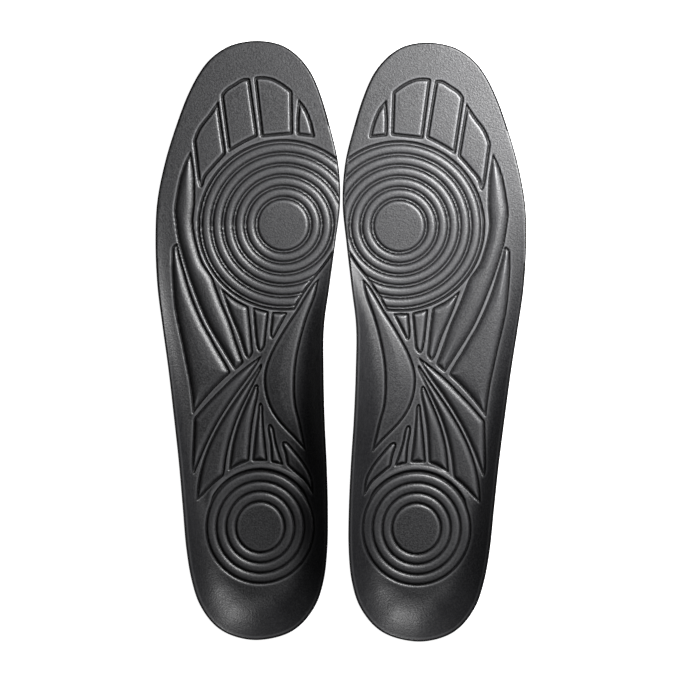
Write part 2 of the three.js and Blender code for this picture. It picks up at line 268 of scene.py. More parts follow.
OUTER_REACH_ALONG = curve_through([
    (-1, HEEL_BACK_REACH), (-0.93, HEEL_BACK_REACH), (-0.76, HEEL_CUP_REACH), (-0.3, OUTER_REACH)])
INNER_FLARE_ALONG = curve_through([(-0.75, HEEL_FLARE), (-0.2, ARCH_FLARE), (0.35, TOE_FLARE)])
OUTER_FLARE_ALONG = curve_through([(-0.75, HEEL_FLARE), (-0.2, OUTER_FLARE), (0.35, TOE_FLARE)])


class Rim:
    """For an array of plan points: the distance to the nearer side of the outline and the nearest
    place on it, and there the rise and the reach of the wall and the flare of the underside."""

    def __init__(self, x, y):
        inner = distance_to_line(x, y, INNER_SIDE)
        outer = distance_to_line(x, y, OUTER_SIDE)
        self.inner = inner[0] < outer[0]
        self.distance = np.where(self.inner, inner[0], outer[0])
        self.x = np.where(self.inner, inner[1], outer[1])
        self.y = np.where(self.inner, inner[2], outer[2])
        share = self.y / HALF
        self.rise = np.where(self.inner, INNER_RISE_ALONG(share), OUTER_RISE_ALONG(share))
        self.reach = np.where(self.inner, INNER_REACH_ALONG(share), OUTER_REACH_ALONG(share))
        self.flare = np.where(self.inner, INNER_FLARE_ALONG(share), OUTER_FLARE_ALONG(share))


def arch_swell(x, y):
    """Broad lift of the inner half of the waist: an S curve either way along, times an S curve down
    across the width."""
    along = 1 - smooth(np.abs(y / HALF - ARCH_MIDDLE) / ARCH_RUN)
    width = np.maximum(outer_x(y) - inner_x(y), 1)
    return ARCH_SWELL * along * (1 - smooth((x - inner_x(y)) / (ARCH_ACROSS * width)))


def plain_top(x, y, rim):
    """The surface that the foot stands on, without its relief: the thickness, the arch swell, and a
    wall that climbs as a power of the nearness to the rim."""
    nearness = np.clip(1 - rim.distance / rim.reach, 0, 1)
    backward = smooth((HEEL_BACK_START - rim.y / HALF) / HEEL_BACK_SPAN)
    power = WALL_POWER + (HEEL_BACK_POWER - WALL_POWER) * backward
    return UNDER_FOOT(y / HALF) + arch_swell(x, y) + rim.rise * nearness**power


def underside(x, y, rim):
    """The underside: flat on the floor, and climbing to the rim as a parabola."""
    on_rim = UNDER_FOOT(rim.y / HALF) + arch_swell(rim.x, rim.y) + rim.rise
    return (on_rim - COVER - FOAM_EDGE) * np.clip(1 - rim.distance / rim.flare, 0, 1)**2


# ---------------------------------------------------------------- relief of the cover

DEPTH = 1.15  # of every groove
WALL = 0.4  # width of the outer wall of the groove round a pod
SOFTENING = 0.16  # radius of the bell that softens the whole relief
SURROUNDINGS = 0.7  # radius of the bell that a place is held against to say how far it stands out
POD_CORNER = 0.7  # radius of the bell that rounds the pods' corners
POD_STEP = 0.5  # spacing of the points round a pod

# A kind of pod: the width of the groove's floor, the width of the rounded shoulder and its power, how
# high the pod then stands over the plain surface, and how much further and how far in it swells.
PodKind = namedtuple("PodKind", "floor width power height swell reach")
TOE = PodKind(0.9, 0.7, 2.0, 0.05, 0.1, 3.0)
BLADE = PodKind(0.5, 2.8, 1.6, 0.25, 0.6, 8.0)
RAY = PodKind(0.35, 2.1, 1.6, 0.25, 0.3, 4.0)
ARCH = PodKind(0.35, 1.3, 2.0, 0.1, 0.8, 12.0)
SMALL = PodKind(0.35, 1.3, 1.8, 0.15, 0.2, 2.5)

# Pods, each as its kind and its sides. A side runs from the corner before it through its points to
# its own last point, which is a corner too. The points are the outer edge of the groove round the pod.
PODS = [
    (TOE, [[(16.2, 104.5), (13.5, 98), (12, 91.2)], [(20.7, 92.2)], [(20.8, 100), (20, 109.2)]]),
    (TOE, [[(27.5, 116.2), (32.5, 118.5), (37.5, 119), (40.2, 118.5)], [(36.8, 91)], [(22, 92.5)],
           [(22.5, 112.5)]]),
    (TOE, [[(45, 118), (49, 115.7), (53, 113), (55.2, 110.2)], [(51.5, 84)],
           [(44, 88.5), (37.8, 91.5)], [(41.8, 118)]]),
    (TOE, [[(60.5, 101.5), (65, 95.5), (67.5, 89.5)], [(66.9, 85), (64.4, 69), (63.4, 67.8), (62.4, 69)],
           [(61.5, 72.5), (58, 77), (52.2, 83.5)], [(56, 108)]]),
    (BLADE, [[(70.5, 81), (73, 74), (75, 64), (75.7, 58.3), (75, 51.7), (73.8, 44), (71.8, 37),
              (69.3, 29), (66.7, 22), (63.8, 14.5), (60.4, 7), (56.4, 0), (53.3, -5), (50.2, -10),
              (47.4, -14.5)],
             [(43.2, -10.7)],
             [(46.4, -2), (49.6, 7.5), (53.3, 16), (56.1, 23.3), (57.8, 27.8), (62.2, 34.4),
              (64.4, 40.6), (66.1, 47.2), (66.7, 52.8), (66.1, 60.6), (66.1, 67.8), (66.5, 75),
              (68.2, 85.2)]]),
    (BLADE, [[(76.2, 41.5), (76.6, 36), (76.5, 30.6), (75.9, 22), (74.9, 13), (73.3, 5), (71.4, -3.3),
              (69.6, -12), (68, -20), (66.6, -31), (66.3, -34.5)],
             [(61, -27.6), (55.3, -21.2), (49, -15.2)],
             [(51.9, -10), (55, -5), (58, 0.4), (61.2, 6), (64.9, 14), (68, 22), (70.4, 30),
              (72.4, 37), (73.8, 43.3)]]),
    (RAY, [[(47.8, 18.2), (54.2, 23.2)], [(50.3, 12), (45.8, 1.3), (42.7, -7.7), (41.2, -9.4)],
           [(39.1, -6.5)], [(40, 3), (41.4, 14.8)]]),
    (SMALL, [[(39.8, 14.6)], [(37.2, -5), (35.8, -6.2)], [(33.8, -3.5)], [(32.2, 12.6)]]),
    (SMALL, [[(31, 12.5)], [(31.5, 0.8), (30.2, -0.2)], [(23.6, 12.3)]]),
    (ARCH, [[(12.8, 25), (16.7, 19), (20, 13.3), (24, 7.2), (28.9, -1.1), (31.7, -6.7),
             (33.9, -13.3), (34.4, -19), (33.6, -25), (31.5, -31), (28, -36.5), (24, -41),
             (20, -45), (14.6, -51)],
            [(16, -44), (17.7, -36.5), (19.4, -30), (20, -24), (20, -16), (19.2, -7.8), (17.2, 1.7),
             (14.7, 10.5), (11.4, 19.5), (9.6, 28)]]),
    (RAY, [[(40, -10.5), (47.8, -16.8), (54, -23), (60, -29.2), (65.9, -36)],
           [(66.1, -60), (65.3, -61.5)],
           [(63.5, -57), (60.3, -49), (56, -40), (51, -31.5), (46, -24), (41, -17.2), (36.5, -10),
            (35, -7)]]),
    (RAY, [[(40.2, -17.3), (45, -24.1), (49.8, -31.1), (55.2, -40.1), (59.4, -49), (62.2, -57.5),
            (63.8, -66), (64.2, -73.5)],
           [(60.5, -70), (56.5, -65.8), (51.8, -61.8)],
           [(51.4, -59.5), (50.6, -53), (48.6, -44), (45.6, -35), (42.2, -27.5), (38.1, -19),
            (34.9, -11.6), (35.6, -10.6)]]),
    (RAY, [[(40.5, -25), (43.2, -31), (46.2, -39), (48.5, -48), (49.9, -59.8)],
           [(45, -57), (40.4, -55.1)],
           [(40.1, -50), (39.3, -40), (38, -32), (36.5, -24), (36.6, -21), (37.6, -20), (38.8, -21.2)]]),
    (RAY, [[(37, -32.5), (38.2, -42.5), (39.4, -55.2)], [(32.1, -55.2)],
           [(33.3, -45), (34.2, -35), (34.6, -29.6), (35.7, -28.2), (36.8, -29.6)]]),
    (SMALL, [[(32.4, -41), (31.3, -47.5), (30.8, -55.6)], [(24.8, -57)],
             [(28.2, -46.5), (29.7, -39.6), (31.2, -37.9), (32.4, -39)]]),
    (SMALL, [[(26, -47.5), (24.6, -51.5), (23.6, -57)], [(20, -60), (15, -64.5), (11.2, -71)],
             [(11.8, -63), (14.6, -57), (19.2, -50.8), (24.2, -45.7), (25.8, -46.1)]]),
]

BALL_CENTRE = (26.2, 51.7)
BALL_RIBS = 12.2 + 5.02 * np.arange(6)  # radii of the narrow ribs between the ridges
BALL_ZONE = 38.9  # outer radius of the groove that closes the rings
BALL_ZONE_SPAN = (-98, 165)  # angles at its ends, in degrees
BALL_ZONE_FLOOR = 0.5  # width of that groove's floor past its outer wall
BALL_ZONE_WALL = 0.5  # width of its inner wall
RIB = 0.2  # half width of a rib's crest
RIB_SIDE = 0.4  # width of the S-curved side of a rib
RIB_DROP = 0.15  # how far a rib's crest lies below the plain surface
RIDGE_START = 0.7  # distance of a ridge's foot from the middle of the rib
RIDGE_SHOULDER, DISC_SHOULDER = 1.8, 1.5
RIDGE_RISE = 0.2  # how far a ridge stands over the plain surface
RIDGE_POWER = 2.3
# Inner side of the zone of rings: from the insole's inner edge to the arch pod.
BALL_ZONE_EDGE = [(0, 43), (3.4, 38.8), (6.7, 33.9), (11, 28.3), (14.2, 24), (17.8, 18.4), (20.6, 13.2)]

HEEL_CENTRE = (35.3, -84.9)
HEEL_STRETCH = 1.045  # the heel rings are this much narrower across than along
HEEL_GROOVES = 11.5 + 4.6 * np.arange(4)
HEEL_FLOOR = 0.25  # half width of a groove's floor
HEEL_WIDER = 0.8  # how much further out the last groove's floor goes in front
HEEL_SHOULDER, HEEL_DISC_SHOULDER, HEEL_LAST_SHOULDER = 1.95, 1.5, 0.8
HEEL_RISE = 0.1  # how far a heel ridge stands over the plain surface
HEEL_POWER = 2.2
HEEL_BANK = 27.6  # radius of the bank between the rings and the rays
HEEL_BANK_HEIGHT = 0.45
HEEL_BANK_HALF = 1.3  # half its width
HEEL_BANK_SPAN = (22, 152)  # angles at its ends, in degrees
HEEL_BANK_FADE = 14
WRINKLES = [(40.7, 0.12), (42.1, 0.09), (43.2, 0.06)]  # radius and depth
WRINKLE_WIDTH = 0.35
WRINKLE_SPAN = (-122, -58)
WRINKLE_FADE = 16

# The crest term paints a highlight along the crest of a high rim, through the standing numbers.
CREST_HIGHLIGHT = 0.3  # how much the crest of a high rim counts as standing out
CREST_INSET, CREST_WIDTH = 1.3, 0.35  # how far in from the rim it lies, and the radius of its bell

STEP = 0.2  # spacing of the height map
MAP_MARGIN = 2
MAP_X = np.arange(-MAP_MARGIN, 88, STEP)
MAP_Y = np.arange(-HALF - MAP_MARGIN, HALF + MAP_MARGIN, STEP)


def bell(radius, step, reach):
    """Offsets up to the reach, in whole steps, and a bell curve's weights there, which add up to 1."""
    offsets = np.arange(-reach, reach + 1)
    weights = np.exp(-0.5 * (offsets * step / radius)**2)
    return offsets, weights / weights.sum()


def rounded(sides):
    """Closed line through the sides of a pod, its corners rounded: equal steps, each averaged with its
    neighbours by a bell."""
    corner = sides[-1][-1]
    loop = []
    for side in sides:
        run = np.array([corner, *side], float)
        loop.append((spline(run) if len(run) > 2 else run)[:-1])
        corner = side[-1]
    line = np.vstack(loop + [[sides[-1][-1]]])
    count = max(24, int(np.hypot(*np.diff(line, axis=0).T).sum() / POD_STEP))
    line = resample(line, count + 1)[:-1]
    offsets, weights = bell(POD_CORNER, POD_STEP, 6)
    line = sum(w * np.roll(line, k, axis=0) for w, k in zip(weights, offsets))
    return np.vstack([line, line[:1]])


def depth_inside(x, y, loop):
    """How far each point lies inside a closed line, negative outside. A point is inside when a ray
    from it crosses the line an odd number of times."""
    distance, _, _ = distance_to_line(x, y, loop)
    inside = np.zeros(x.shape, bool)
    for (ax, ay), (bx, by) in zip(loop[:-1], loop[1:]):
        crosses = (ay > y) != (by > y)
        inside ^= crosses & (x < ax + (y - ay) / (by - ay + 1e-12) * (bx - ax))
    return np.where(inside, distance, -distance)


def shoulder(at, width, height, power=2.0):
    """A quarter of an ellipse, or of a squarer one for a higher power: upright at 0, level at its
    width."""
    t = np.clip(at / width, 0, 1)
    return height * (1 - (1 - t)**power)**(1 / power)


def pod(x, y, kind, sides):
    """A groove with an S-curved outer wall and a flat floor, then the pod: a rounded shoulder, and a
    parabola that swells a little further."""
    depth = depth_inside(x, y, rounded(sides))
    inside = depth - WALL - kind.floor
    further = 1 - np.clip(inside / kind.reach, 0, 1)
    swell = kind.swell * (1 - further**2) * (inside > 0)
    pillow = shoulder(inside, kind.width, DEPTH + kind.height, kind.power) + swell
    return depth, pillow - DEPTH * smooth(depth / WALL)


def ball_rings(x, y):
    """Half-round ridges parted by narrow ribs, with a crease on each side of a rib, and a level disc
    in the middle. A groove closes the zone, and past it the rings are not there."""
    cx, cy = BALL_CENTRE
    radius = np.hypot(x - cx, y - cy)
    angle = np.radians(np.linspace(*BALL_ZONE_SPAN, 90))
    arc = np.column_stack([cx + BALL_ZONE * np.cos(angle), cy + BALL_ZONE * np.sin(angle)])
    depth = depth_inside(x, y, np.vstack([arc, spline(BALL_ZONE_EDGE), arc[:1]]))
    from_rib = np.abs(radius[..., None] - BALL_RIBS).min(-1)
    rib = (DEPTH - RIB_DROP) * (1 - smooth((from_rib - RIB) / RIB_SIDE))
    width = np.where(radius < BALL_RIBS[0], DISC_SHOULDER, RIDGE_SHOULDER)
    ridge = shoulder(from_rib - RIDGE_START, width, DEPTH + RIDGE_RISE, RIDGE_POWER)
    rings = np.where(radius > BALL_RIBS[-1] + RIB, rib, np.maximum(rib, ridge)) - DEPTH
    edge = smooth(depth / WALL)
    closing = smooth((depth - WALL - BALL_ZONE_FLOOR) / BALL_ZONE_WALL)
    return edge * (closing * rings - (1 - closing) * DEPTH)


def within(angle, span, fade):
    """1 inside a span of angles, and an S curve down to 0 at each end."""
    low, high = span
    return smooth((angle - low) / fade) * smooth((high - angle) / fade)


def heel_rings(x, y):
    """Half-round ridges parted by narrow creases, round a level disc, a bank with the section of a
    parabola over the front of them, and faint bell-shaped wrinkles past the back of them."""
    cx, cy = HEEL_CENTRE
    radius = np.hypot((x - cx) * HEEL_STRETCH, y - cy)
    angle = np.degrees(np.arctan2(y - cy, x - cx))
    from_groove = np.abs(radius[..., None] - HEEL_GROOVES).min(-1)
    outside = radius > HEEL_GROOVES[-1]
    within_disc = radius < HEEL_GROOVES[0]
    width = np.where(outside, HEEL_LAST_SHOULDER,
                     np.where(within_disc, HEEL_DISC_SHOULDER, HEEL_SHOULDER))
    height = np.where(outside, DEPTH, DEPTH + HEEL_RISE)
    front = within(angle, HEEL_BANK_SPAN, HEEL_BANK_FADE)
    floor = HEEL_FLOOR + HEEL_WIDER * front * outside
    rings = shoulder(from_groove - floor, width, 1, HEEL_POWER) * height - DEPTH
    bank = np.clip(1 - ((radius - HEEL_BANK) / HEEL_BANK_HALF)**2, 0, 1)
    wrinkles = sum(w * np.exp(-((radius - r) / WRINKLE_WIDTH)**2) for r, w in WRINKLES)
    return rings + HEEL_BANK_HEIGHT * bank * front - wrinkles * within(angle, WRINKLE_SPAN, WRINKLE_FADE)


def blurred(height, radius):
    """Average with a bell of that radius along both directions of the map."""
    reach = math.ceil(3 * radius / STEP)
    _, weights = bell(radius, STEP, reach)
    padded = np.pad(height, reach, mode="edge")
    rows = sum(w * padded[k:k + height.shape[0]] for k, w in enumerate(weights))
    return sum(w * rows[:, k:k + height.shape[1]] for k, w in enumerate(weights))


def relief_map():
    """Height of the relief over the plan, on a square map: the rings, then each pod, which replaces
    what is there inside the wall of its groove and cuts into it where that wall is lower."""
    x, y = np.meshgrid(MAP_X, MAP_Y)
    height = ball_rings(x, y) + heel_rings(x, y)
    for kind, sides in PODS:
        points = np.array([p for side in sides for p in side])
        low, high = points.min(0) - MAP_MARGIN, points.max(0) + MAP_MARGIN
        columns = slice(*np.searchsorted(MAP_X, [low[0], high[0]]))
        rows = slice(*np.searchsorted(MAP_Y, [low[1], high[1]]))
        part = np.s_[rows, columns]
        depth, shape = pod(x[part], y[part], kind, sides)
        wall = np.where(depth > 0, np.minimum(height[part], shape), height[part])
        height[part] = np.where(depth > WALL, shape, wall)
    return blurred(height, SOFTENING)


RELIEF = relief_map()
# How far a place stands over what is round it, for polish and painted highlights on raised edges and
# painted shade in hollows, and how steep it is, for painted shade and dullness in creases.
STANDING = RELIEF - blurred(RELIEF, SURROUNDINGS)
STEEP = np.hypot(*np.gradient(RELIEF, STEP))


def read_map(values, x, y):
    """A map's values at any plan points, each read between its four nearest."""
    u = np.clip((x - MAP_X[0]) / STEP, 0, len(MAP_X) - 2)
    v = np.clip((y - MAP_Y[0]) / STEP, 0, len(MAP_Y) - 2)
    i, j = v.astype(int), u.astype(int)
    fu, fv = u - j, v - i
    low = values[i, j] * (1 - fu) + values[i, j + 1] * fu
    high = values[i + 1, j] * (1 - fu) + values[i + 1, j + 1] * fu
    return low * (1 - fv) + high * fv


# ---------------------------------------------------------------- meshes

def plan_grid(rows, shares):
    """Plan points in rows from the inner edge straight to the middle line and on to the outer edge;
    shares say how far along from the edge to the middle line the points lie. The first and last rows
    fold back from the middle line to the tip."""
    inner, outer = resample(INNER_SIDE, rows), resample(OUTER_SIDE, rows)
    y = (inner[:, 1] + outer[:, 1]) / 2 * FAN
    middle = np.column_stack([(inner_x(y) + outer_x(y)) / 2, y])
    half_in = inner[:, None] + (middle - inner)[:, None] * shares[None, :, None]
    half_out = outer[:, None] + (middle - outer)[:, None] * shares[None, :, None]
    return np.concatenate([half_in, half_out[:, -2::-1]], axis=1)


def skin_index(rows, columns, start):
    """Vertex numbers of one skin, where the two halves of a folded end row share theirs."""
    index = start + np.arange(rows * columns).reshape(rows, columns)
    middle = columns // 2
    index[0, middle + 1:] = index[0, :middle][::-1]
    index[-1, middle + 1:] = index[-1, :middle][::-1]
    return index


def quads(index):
    """Faces between neighbouring rows and columns of a grid of vertex numbers, facing up."""
    return np.stack([index[:-1, :-1], index[:-1, 1:], index[1:, 1:], index[1:, :-1]], -1).reshape(-1, 4)


def closed_skins(upper_plan, upper_z, lower_plan, lower_z):
    """Vertices and faces of a solid between two skins with the same rows: the skins, and a wall that
    joins them along the outline."""
    rows, above = upper_plan.shape[:2]
    below = lower_plan.shape[1]
    upper = skin_index(rows, above, 0)
    lower = skin_index(rows, below, rows * above)
    vertices = np.vstack([
        np.column_stack([upper_plan.reshape(-1, 2), upper_z.ravel()]),
        np.column_stack([lower_plan.reshape(-1, 2), lower_z.ravel()])])
    inner_wall = quads(np.column_stack([lower[:, 0], upper[:, 0]]))
    outer_wall = quads(np.column_stack([upper[:, -1], lower[:, -1]]))
    return vertices, np.vstack([quads(upper), quads(lower)[:, ::-1], inner_wall, outer_wall])


def make_piece(name, vertices, faces, side, sharp=40):
    """A mesh object from millimetre vertices for the right insole, mirrored for the left. Corners that
    no face uses are left out, and edges over the sharp angle in degrees stay crisp."""
    faces = np.array(faces)
    if side == "left":
        vertices = vertices * [-1, 1, 1]
        faces = faces[:, ::-1]
    used, packed = np.unique(faces, return_inverse=True)
    packed = packed.reshape(faces.shape)
    mesh = bpy.data.meshes.new(name)
    mesh.from_pydata(vertices[used] * MM, [], packed.tolist())
    mesh.validate()
    mesh.polygons.foreach_set("use_smooth", np.ones(len(mesh.polygons), bool))
    mesh.set_sharp_from_angle(angle=math.radians(sharp))
    piece = bpy.data.objects.new(name, mesh)
    bpy.context.scene.collection.objects.link(piece)
    return piece, used


def column_shares(near, count):
    """Shares from the edge to the middle line: the near ones, in millimetres on a half width, then
    equal steps."""
    near = np.array(near) / HALF_WIDTH
    return np.concatenate([near, np.linspace(near[-1], 1, count)[1:]])


HALF_WIDTH = 36
ROWS = 760
COLUMNS = 98
FINE_SHARES = column_shares([0, 0.12, 0.3, 0.55, 0.9], COLUMNS)
FOAM_SHARES = column_shares([0, 0.4, 0.9, 1.6], COLUMNS // 2 + 20)
COARSE_SHARES = column_shares([0, 1.5, 4, 8, 14], 4)


def add_attribute(piece, name, values):
    """One number for each vertex of a piece, for its material to read."""
    attribute = piece.data.attributes.new(name, "FLOAT", "POINT")
    attribute.data.foreach_set("value", values.astype(np.float32))


def cover_shape():
    """The moulded cover: the plain surface plus the relief, less a quarter circle at the rim, over a
    plain lower skin at an even depth. The relief fades out at the very edge.

    With it come numbers for its material: standing, how far a place stands over what is round it,
    with a bell along the crest of the rim, for painted highlights and painted shade; steep, the slope
    of the relief, for painted shade in creases; wall, how far up a high wall a place lies, for painted
    shade on the walls; and edge, 1 on the cut edge and below."""
    upper = plan_grid(ROWS, FINE_SHARES)
    lower = plan_grid(ROWS, COARSE_SHARES)
    x, y = upper[..., 0], upper[..., 1]
    rim = Rim(x, y)
    fade = smooth(rim.distance / PLAIN_EDGE)
    lip = LIP - np.sqrt(LIP**2 - np.clip(LIP - rim.distance, 0, LIP)**2)
    upper_z = plain_top(x, y, rim) + read_map(RELIEF, x, y) * fade - lip
    lx, ly = lower[..., 0], lower[..., 1]
    lower_z = plain_top(lx, ly, Rim(lx, ly)) - COVER
    # Painted highlight: a bell along the crest of a high rim, added to the standing numbers.
    crest = CREST_HIGHLIGHT * np.exp(-((rim.distance - CREST_INSET) / CREST_WIDTH)**2)
    above = {
        "standing": read_map(STANDING, x, y) * fade + crest * np.clip(rim.rise / 8, 0, 1),
        "steep": read_map(STEEP, x, y) * fade,
        "wall": np.clip(rim.rise / 6, 0, 1) * smooth((1.1 - rim.distance / rim.reach) / 0.6),
        "edge": rim.distance < 0.5 * LIP,
    }
    below = {"standing": 0, "steep": 0, "wall": 0, "edge": 1}
    values = {
        name: np.concatenate([above[name].ravel(), np.full(lower_z.size, below[name])])
        for name in above}
    return closed_skins(upper, upper_z, lower, lower_z), values


def footbed_shape():
    """Foam below the cover: a plain upper skin, and the underside with a round pocket for each
    cushion, whose wall is an S curve, and a recess with a sloping wall for the arch shell."""
    lower = plan_grid(ROWS, FOAM_SHARES)
    upper = plan_grid(ROWS, COARSE_SHARES)
    x, y = lower[..., 0], lower[..., 1]
    lower_z = underside(x, y, Rim(x, y))
    for node in ("heel_cushion", "ball_cushion"):
        centre, radius, _, top = cushion_size(node)
        away = np.hypot(x - centre[0], y - centre[1])
        inside = smooth((radius + POCKET_GAP + POCKET_WALL - away) / POCKET_WALL)
        lower_z = np.maximum(lower_z, (top + POCKET_GAP) * inside)
    inside = np.clip((shell_inset(x, y) + RECESS_GAP + RECESS_WALL) / RECESS_WALL, 0, 1)
    lower_z += inside * (SHELL_THICKNESS + RECESS_ROOM)
    ux, uy = upper[..., 0], upper[..., 1]
    upper_z = plain_top(ux, uy, Rim(ux, uy)) - COVER - SKIN_GAP
    return closed_skins(upper, upper_z, lower, lower_z)


def shell_span(y):
    """Inner and outer edge of the arch shell across the insole at y: the outer one bulges as half a
    sine wave."""
    along = np.clip((y - SHELL_LOW) / (SHELL_HIGH - SHELL_LOW), 0, 1)
    share = SHELL_SHARE + SHELL_BULGE * np.sin(math.pi * along)
    return inner_x(y) + SHELL_FROM_RIM, inner_x(y) + share * (outer_x(y) - inner_x(y))


def shell_inset(x, y):
    """How far a plan point lies inside the arch shell's outline; negative outside."""
    start, end = shell_span(y)
    return np.minimum(np.minimum(x - start, end - x), np.minimum(y - SHELL_LOW, SHELL_HIGH - y))


def arch_shell(side):
    """The arch shell: a plate of even thickness that follows the underside. The edge of its lower face
    is a quarter circle, and that face has grooves, the tops of cosine waves, along curved lines that
    keep their share of the width."""
    near = np.concatenate([[0, 0.08, 0.2, 0.4, 0.7, 1.0, 1.5], np.linspace(2, 38, 74)]) / 80
    shares = np.concatenate([near, (1 - near)[::-1]])
    y = SHELL_LOW + (SHELL_HIGH - SHELL_LOW) * shares[:, None]
    start, end = shell_span(y)
    x = start + (end - start) * shares[None, :]
    y = np.broadcast_to(y, x.shape)
    base = underside(x, y, Rim(x, y))
    inset = np.clip(shell_inset(x, y), 0, None)
    round_edge = SHELL_EDGE - np.sqrt(SHELL_EDGE**2 - np.clip(SHELL_EDGE - inset, 0, None)**2)
    wave = np.cos(2 * math.pi * SHELL_LINES * (x - start) / (end - start))
    line = smooth((wave - SHELL_LINE_FROM) / (1 - SHELL_LINE_FROM))
    grooves = SHELL_LINE_DEPTH * line * smooth((inset - SHELL_LINE_MARGIN) / SHELL_LINE_FADE)
    lower = np.stack([x, y, base + round_edge + grooves], -1).reshape(-1, 3)
    upper = np.stack([x, y, base + SHELL_THICKNESS], -1).reshape(-1, 3)
    below = np.arange(x.size).reshape(x.shape)
    above = below + x.size
    faces = np.vstack([
        quads(below)[:, ::-1],
        quads(above),
        quads(np.stack([below[0], above[0]])),
        quads(np.stack([above[-1], below[-1]])),
        quads(np.stack([above[:, 0], below[:, 0]])),
        quads(np.stack([below[:, -1], above[:, -1]])),
    ])
    piece, _ = make_piece(f"{side}_grooved_shell", np.vstack([lower, upper]), faces, side)
    return piece


def turned(name, profile, centre, side, count=96):
    """A round piece: a profile of (radius, height) points, from the axis and back to it, carried round
    an upright axis."""
    profile = np.array(profile, float)
    angle = np.linspace(0, 2 * math.pi, count, endpoint=False)
    ring = np.stack([np.cos(angle), np.sin(angle)], -1)
    vertices = np.concatenate([
        centre + profile[:, None, :1] * ring[None],
        np.broadcast_to(profile[:, None, 1:], (len(profile), count, 1))], -1).reshape(-1, 3)
    index = np.arange(len(profile) * count).reshape(len(profile), count)
    index[0], index[-1] = index[0, 0], index[-1, 0]
    index = np.column_stack([index, index[:, 0]])
    piece, _ = make_piece(name, vertices, quads(index)[:, ::-1], side)
    return piece


def cushion_size(node):
    """Centre, radius, and lower and upper face of a cushion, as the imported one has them."""
    low, high = (np.array(c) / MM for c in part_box(f"right_{node}"))
    return (low + high)[:2] / 2, (high[0] - low[0]) / 2, low[2], high[2]


def cushion(side, node):
    """A gel cushion: a disc with quarter-round edges, and ring grooves in its lower face with the
    section of a squared cosine."""
    centre, radius, bottom, top = cushion_size(node)
    flat = radius - CUSHION_EDGE
    across = np.linspace(0, flat, 90)
    wave = np.clip(np.cos(across * 2 * math.pi / CUSHION_RINGS), 0, 1)
    rings = CUSHION_RING_DEPTH * wave**2 * (across > 0.5 * CUSHION_RINGS)
    angle = np.linspace(0, math.pi / 2, 7)[1:]
    sine, cosine = CUSHION_EDGE * np.sin(angle), CUSHION_EDGE * np.cos(angle)
    profile = np.vstack([
        np.column_stack([across, bottom + rings]),
        np.column_stack([flat + sine, bottom + CUSHION_EDGE - cosine]),
        np.column_stack([flat + cosine, top - CUSHION_EDGE + sine]),
        [[0, top]]])
    return turned(f"{side}_{node.replace('cushion', 'gel_cushion')}", profile, centre, side)


# ---------------------------------------------------------------- materials

class Shader:
    """A material's node tree, with short calls to add and join its nodes."""

    def __init__(self, name):
        self.material = bpy.data.materials.new(name)
        self.material.use_nodes = True
        self.nodes = self.material.node_tree.nodes
        self.links = self.material.node_tree.links
        self.surface = self.nodes["Principled BSDF"]
        self.place = self.add("ShaderNodeTexCoord").outputs["Object"]

    def add(self, kind, **values):
        """A new node, with its settings and inputs by name."""
        node = self.nodes.new(kind)
        for key, value in values.items():
            if hasattr(node, key):
                setattr(node, key, value)
            else:
                node.inputs[key.replace("_", " ")].default_value = value
        return node

    def join(self, source, node, socket):
        """A link from an output to an input."""
        self.links.new(source, node.inputs[socket])

    def attribute(self, name):
        """The piece's own numbers of that name."""
        return self.add("ShaderNodeAttribute", attribute_name=name).outputs["Fac"]

    def noise(self, scale, detail=3, place=None):
        """Cloudy noise with that many clouds to a metre."""
        node = self.add("ShaderNodeTexNoise", Scale=scale, Detail=detail)
        self.join(place or self.place, node, "Vector")
        return node.outputs["Fac"]

    def cells(self, scale):
        """Distance to the middle of the nearest of many small cells."""
        node = self.add("ShaderNodeTexVoronoi", Scale=scale, feature="F1")
        self.join(self.place, node, "Vector")
        return node.outputs["Distance"]

    def spread(self, source, low, high):
        """0 where the source is at low, 1 where it is at high."""
        node = self.add("ShaderNodeMapRange", From_Min=low, From_Max=high)
        self.join(source, node, "Value")
        return node.outputs["Result"]

    def mix(self, source, first, second, share=1.0):
        """The first colour where the source is 0, and share of the way to the second where it is 1."""
        node = self.add("ShaderNodeMix", data_type="RGBA")
        scaled = self.add("ShaderNodeMath", operation="MULTIPLY")
        self.links.new(source, scaled.inputs[0])
        scaled.inputs[1].default_value = share
        self.links.new(scaled.outputs[0], node.inputs["Factor"])
        for socket, colour in ((node.inputs[6], first), (node.inputs[7], second)):
            if isinstance(colour, tuple):
                socket.default_value = (*colour, 1)
            else:
                self.links.new(colour, socket)
        return node.outputs[2]

    def product(self, first, second):
        """Two outputs multiplied."""
        node = self.add("ShaderNodeMath", operation="MULTIPLY")
        self.join(first, node, 0)
        self.join(second, node, 1)
        return node.outputs[0]

    def stretched(self, factors):
        """The place on the piece, its coordinates multiplied by factors."""
        node = self.add("ShaderNodeVectorMath", operation="MULTIPLY")
        self.join(self.place, node, 0)
        node.inputs[1].default_value = factors
        return node.outputs[0]

    def ramp(self, source, stops):
        """Colours or greys between stops of (position, colour)."""
        node = self.add("ShaderNodeValToRGB")
        elements = node.color_ramp.elements
        while len(elements) < len(stops):
            elements.new(0.5)
        for element, (position, colour) in zip(elements, stops):
            element.position = position
            element.color = (*colour, 1) if isinstance(colour, tuple) else (colour, colour, colour, 1)
        self.join(source, node, "Fac")
        return node.outputs["Color"]

    def bump(self, height, distance, strength=1.0, after=None):
        """A normal tilted by a height, on top of another normal where one is given."""
        node = self.add("ShaderNodeBump", Distance=distance, Strength=strength)
        self.join(height, node, "Height")
        if after is not None:
            self.join(after, node, "Normal")
        return node.outputs["Normal"]

    def set(self, **values):
        """Constant values of the surface, by name."""
        for key, value in values.items():
            self.surface.inputs[key.replace("_", " ")].default_value = value


def grey(value, blue=0.0):
    """A grey, with that much more blue."""
    return value, value, value + blue


